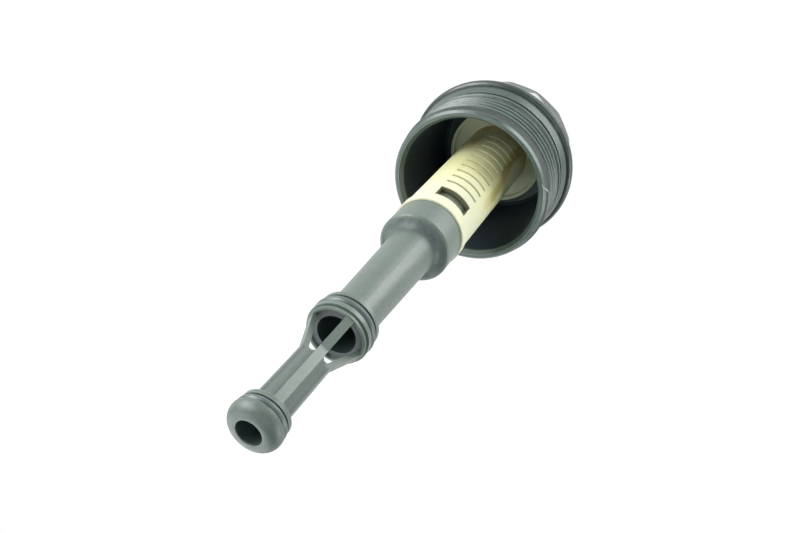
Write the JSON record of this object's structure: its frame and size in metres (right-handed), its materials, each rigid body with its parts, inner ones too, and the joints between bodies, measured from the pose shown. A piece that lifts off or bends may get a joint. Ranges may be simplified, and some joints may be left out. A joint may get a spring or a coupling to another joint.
{
  "type": "oil filter housing cap",
  "caption": "Screw cap of an oil filter housing with seal ring, clipped-in slotted valve cage and standpipe with a grooved ring end, legs and a round nose.",
  "frame": {"origin": "centre of the crown's rest face, which the cap stands on", "axes": "+Z along the axis from the crown through the mouth to the nose of the standpipe; the middle of one cage window faces 41 degrees from +X towards -Y"},
  "size_m": [0.072, 0.072, 0.2053],
  "materials": {
    "grey_plastic": "fine-grained satin, glass-fibre filled, dark grey",
    "cream_plastic": "satin natural cream with oil stains",
    "dark_plastic": "smooth, oily, dark grey",
    "seal_rubber": "satin black rubber",
    "ring_rubber": "satin blue-black rubber",
    "spring_steel": "drawn spring wire"
  },
  "bodies": {
    "cap": {"cap_body": "grey_plastic", "cap_seal_ring": "seal_rubber"},
    "insert": {"valve_cage": "cream_plastic", "valve_spring": "spring_steel", "standpipe": "grey_plastic", "pipe_seal_ring": "ring_rubber", "nose_seal_ring": "ring_rubber"},
    "plunger": {"valve_plunger": "dark_plastic"}
  },
  "joints": [
    {"name": "insert_swivel", "type": "hinge", "parent": "cap", "child": "insert", "pos_m": [0, 0, 0.006], "axis": [0, 0, 1], "continuous": true},
    {"name": "plunger_slide", "type": "slide", "parent": "insert", "child": "plunger", "axis": [0, 0, -1], "range_m": [0, 0.005], "stiffness_N_per_m": 2000, "springref_m": -0.012, "deforming": ["valve_spring"]}
  ]
}
